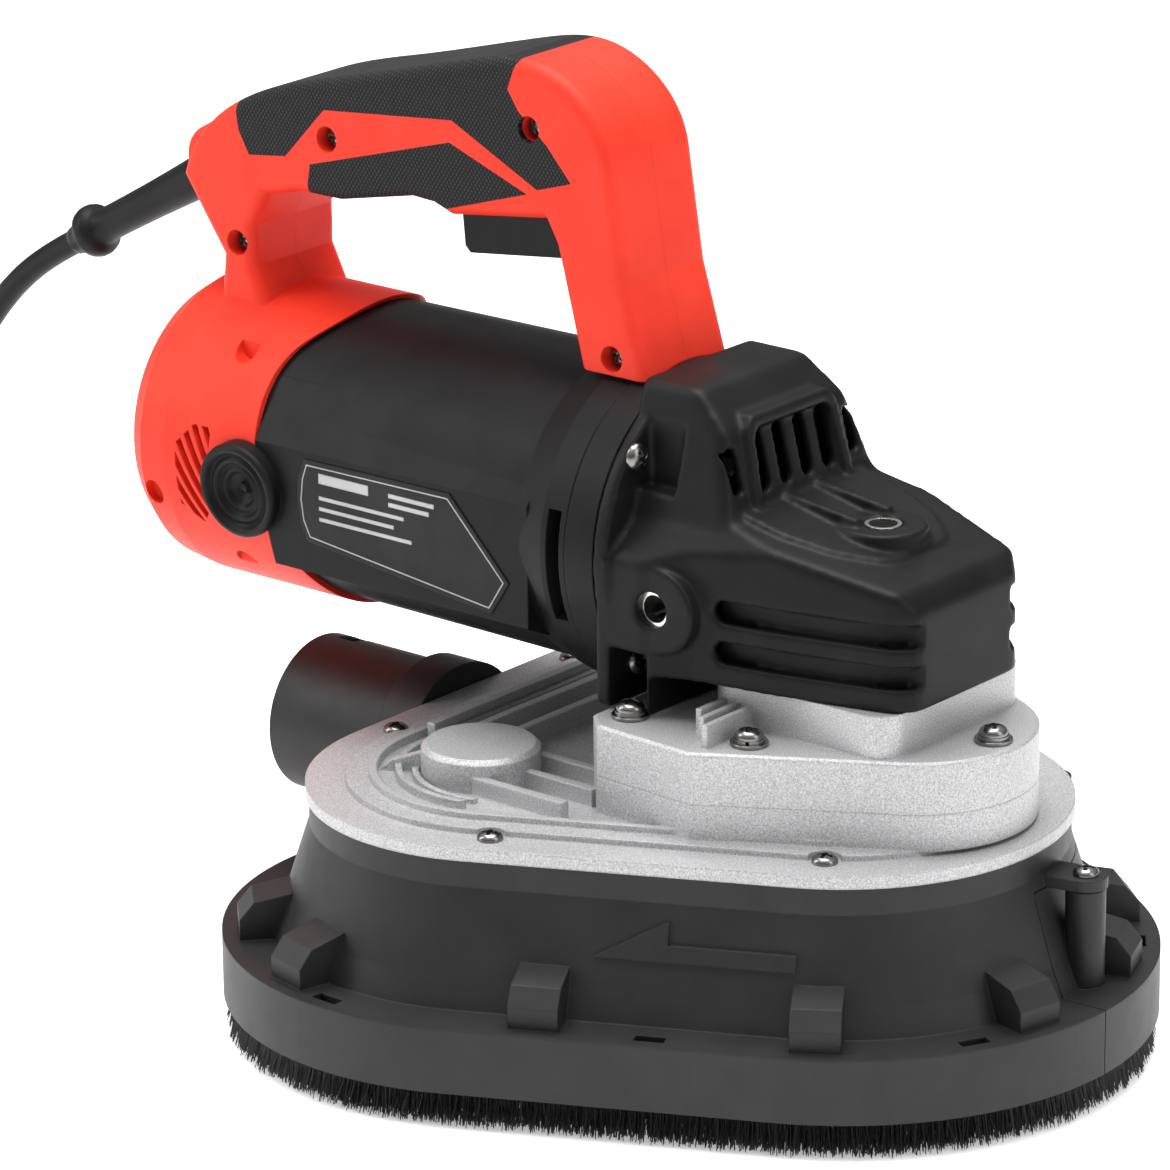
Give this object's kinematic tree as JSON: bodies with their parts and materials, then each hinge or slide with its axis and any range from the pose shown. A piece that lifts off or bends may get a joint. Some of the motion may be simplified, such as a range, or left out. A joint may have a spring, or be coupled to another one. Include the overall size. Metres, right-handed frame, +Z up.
{
  "type": "triple disc surface polisher",
  "caption": "Hand-held electric surface polisher: three geared discs under a rounded triangular dust shroud with a brush skirt, bevel-gear head, barrel motor and D-shaped handle.",
  "frame": {"origin": "on the floor under the middle of the machine, at the brush tips", "axes": "+X to the front, towards the nose of the gear head; +Y to the left; +Z up"},
  "size_m": [0.6535, 0.276, 0.2883],
  "materials": {
    "shroud_plastic": "fine satin moulded",
    "bristle": "stiff nylon bristle",
    "cast_alloy": "sandy sprayed casting",
    "screw_steel": "dark nickel plated",
    "gear_steel": "ground",
    "bearing_steel": "polished",
    "pad_rubber": "matte",
    "abrasive": "coated grit",
    "head_plastic": "fine satin moulded",
    "insert_steel": "bright",
    "laminations": "varnished",
    "copper": "enamelled wire",
    "brass": "bright",
    "carbon": "matte graphite",
    "fan_plastic": "natural",
    "cap_plastic": "satin",
    "red_plastic": "fine satin moulded",
    "grip_rubber": "textured",
    "trigger_plastic": "satin",
    "label": "speckled",
    "cord_sheath": "satin"
  },
  "bodies": {
    "machine": {"dust_shroud": "shroud_plastic", "shroud_segment": "shroud_plastic", "segment_screws": "screw_steel", "brush_strip": "bristle", "segment_brush": "bristle", "dust_port": "shroud_plastic", "base_plate": "cast_alloy", "gear_cover": "cast_alloy", "plate_screws": "screw_steel", "cover_screws": "screw_steel", "gear_tray": "cast_alloy", "tray_screws": "screw_steel", "idler_axle": "gear_steel", "idler_bearing": "bearing_steel", "spindle_bearings": "bearing_steel", "head_cover": "head_plastic", "handle_inserts": "insert_steel", "bearing_plate": "head_plastic", "head_screws": "screw_steel", "motor_housing": "head_plastic", "stator_core": "laminations", "field_windings": "copper", "motor_bearings": "bearing_steel", "rear_bracket": "fan_plastic", "carbon_brushes": "carbon", "brush_holders": "brass", "brush_caps": "cap_plastic", "label_plate": "label", "handle_left": "red_plastic", "handle_right": "red_plastic", "upper_grip": "grip_rubber", "lower_grips": "grip_rubber", "handle_screws": "screw_steel", "trigger_pin": "gear_steel", "switch_body": "trigger_plastic", "strain_relief": "cord_sheath", "power_cord": "cord_sheath", "cord_coil": "cord_sheath", "plug": "cord_sheath"},
    "idler": {"idler_gear": "gear_steel"},
    "front_drive": {"front_spindle": "gear_steel", "front_gear": "gear_steel", "front_pad": "pad_rubber", "front_disc": "abrasive", "bevel_wheel": "gear_steel"},
    "rear_left_drive": {"rear_left_spindle": "gear_steel", "rear_left_gear": "gear_steel", "rear_left_pad": "pad_rubber", "rear_left_disc": "abrasive"},
    "rear_right_drive": {"rear_right_spindle": "gear_steel", "rear_right_gear": "gear_steel", "rear_right_pad": "pad_rubber", "rear_right_disc": "abrasive"},
    "rotor": {"rotor_shaft": "gear_steel", "rotor_core": "laminations", "commutator": "copper", "cooling_fan": "fan_plastic", "bevel_pinion": "gear_steel"},
    "trigger_lever": {"trigger": "trigger_plastic"},
    "dial": {"speed_dial": "trigger_plastic"}
  },
  "joints": [
    {"name": "idler_spin", "type": "hinge", "parent": "machine", "child": "idler", "pos_m": [0.018, 0, 0.07], "axis": [0, 0, 1], "continuous": true},
    {"name": "front_disc_spin", "type": "hinge", "parent": "machine", "child": "front_drive", "pos_m": [0.084, 0, 0.07], "axis": [0, 0, 1], "continuous": true},
    {"name": "rear_left_disc_spin", "type": "hinge", "parent": "machine", "child": "rear_left_drive", "pos_m": [-0.015, 0.05716, 0.07], "axis": [0, 0, 1], "continuous": true},
    {"name": "rear_right_disc_spin", "type": "hinge", "parent": "machine", "child": "rear_right_drive", "pos_m": [-0.015, -0.05716, 0.07], "axis": [0, 0, 1], "continuous": true},
    {"name": "rotor_spin", "type": "hinge", "parent": "machine", "child": "rotor", "pos_m": [0, 0, 0.15], "axis": [1, 0, 0], "continuous": true},
    {"name": "trigger_pull", "type": "hinge", "parent": "machine", "child": "trigger_lever", "pos_m": [-0.025, 0, 0.2435], "axis": [0, 1, 0], "range_deg": [0, 6], "stiffness_Nm_per_rad": 0.6, "springref_deg": -17.19},
    {"name": "dial_turn", "type": "hinge", "parent": "machine", "child": "dial", "pos_m": [-0.172, 0.022, 0.168], "axis": [1, 0, 0], "range_deg": [0, 270]}
  ],
  "couplings": [
    {"joint": "front_disc_spin", "follows": "idler_spin", "ratio": -2.1429},
    {"joint": "rear_left_disc_spin", "follows": "idler_spin", "ratio": -2.1429},
    {"joint": "rear_right_disc_spin", "follows": "idler_spin", "ratio": -2.1429},
    {"joint": "rotor_spin", "follows": "idler_spin", "ratio": 6.8182}
  ]
}
